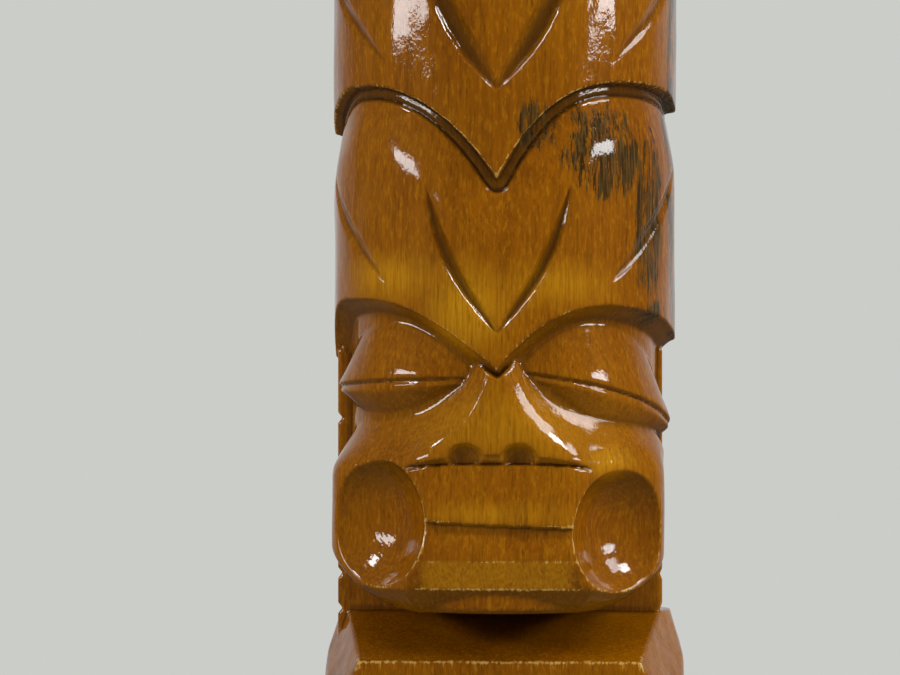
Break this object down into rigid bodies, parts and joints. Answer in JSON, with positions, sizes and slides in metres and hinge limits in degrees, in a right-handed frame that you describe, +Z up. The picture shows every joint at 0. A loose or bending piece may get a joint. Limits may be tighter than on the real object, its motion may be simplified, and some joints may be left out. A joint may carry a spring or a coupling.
{
  "type": "carved wooden tiki figure",
  "caption": "Tall varnished log carving of a tiki figure with a banded headdress, closed eyes and dished mouth corners, on a separate square plinth.",
  "frame": {"origin": "middle of the surface that the four felt pads stand on", "axes": "+Z up along the log; the face looks along -Y; +X is to the right of a viewer who faces the figure"},
  "size_m": [0.164, 0.164, 0.62],
  "materials": {
    "carved_wood": "amber-brown stained hardwood under thick glossy varnish, darker in the cuts and pale on worn edges",
    "plinth_wood": "stained and varnished hardwood block with chamfered edges",
    "dowel_wood": "plain turned beech, unvarnished",
    "zinc_steel": "zinc-plated steel",
    "felt": "pressed brown felt"
  },
  "bodies": {
    "root": {"carved_figure": "carved_wood", "plinth": "plinth_wood", "dowel_front": "dowel_wood", "dowel_back": "dowel_wood", "lag_screw_left": "zinc_steel", "lag_screw_right": "zinc_steel", "washer_left": "zinc_steel", "washer_right": "zinc_steel", "felt_pad_front_left": "felt", "felt_pad_front_right": "felt", "felt_pad_back_left": "felt", "felt_pad_back_right": "felt"}
  },
  "joints": []
}
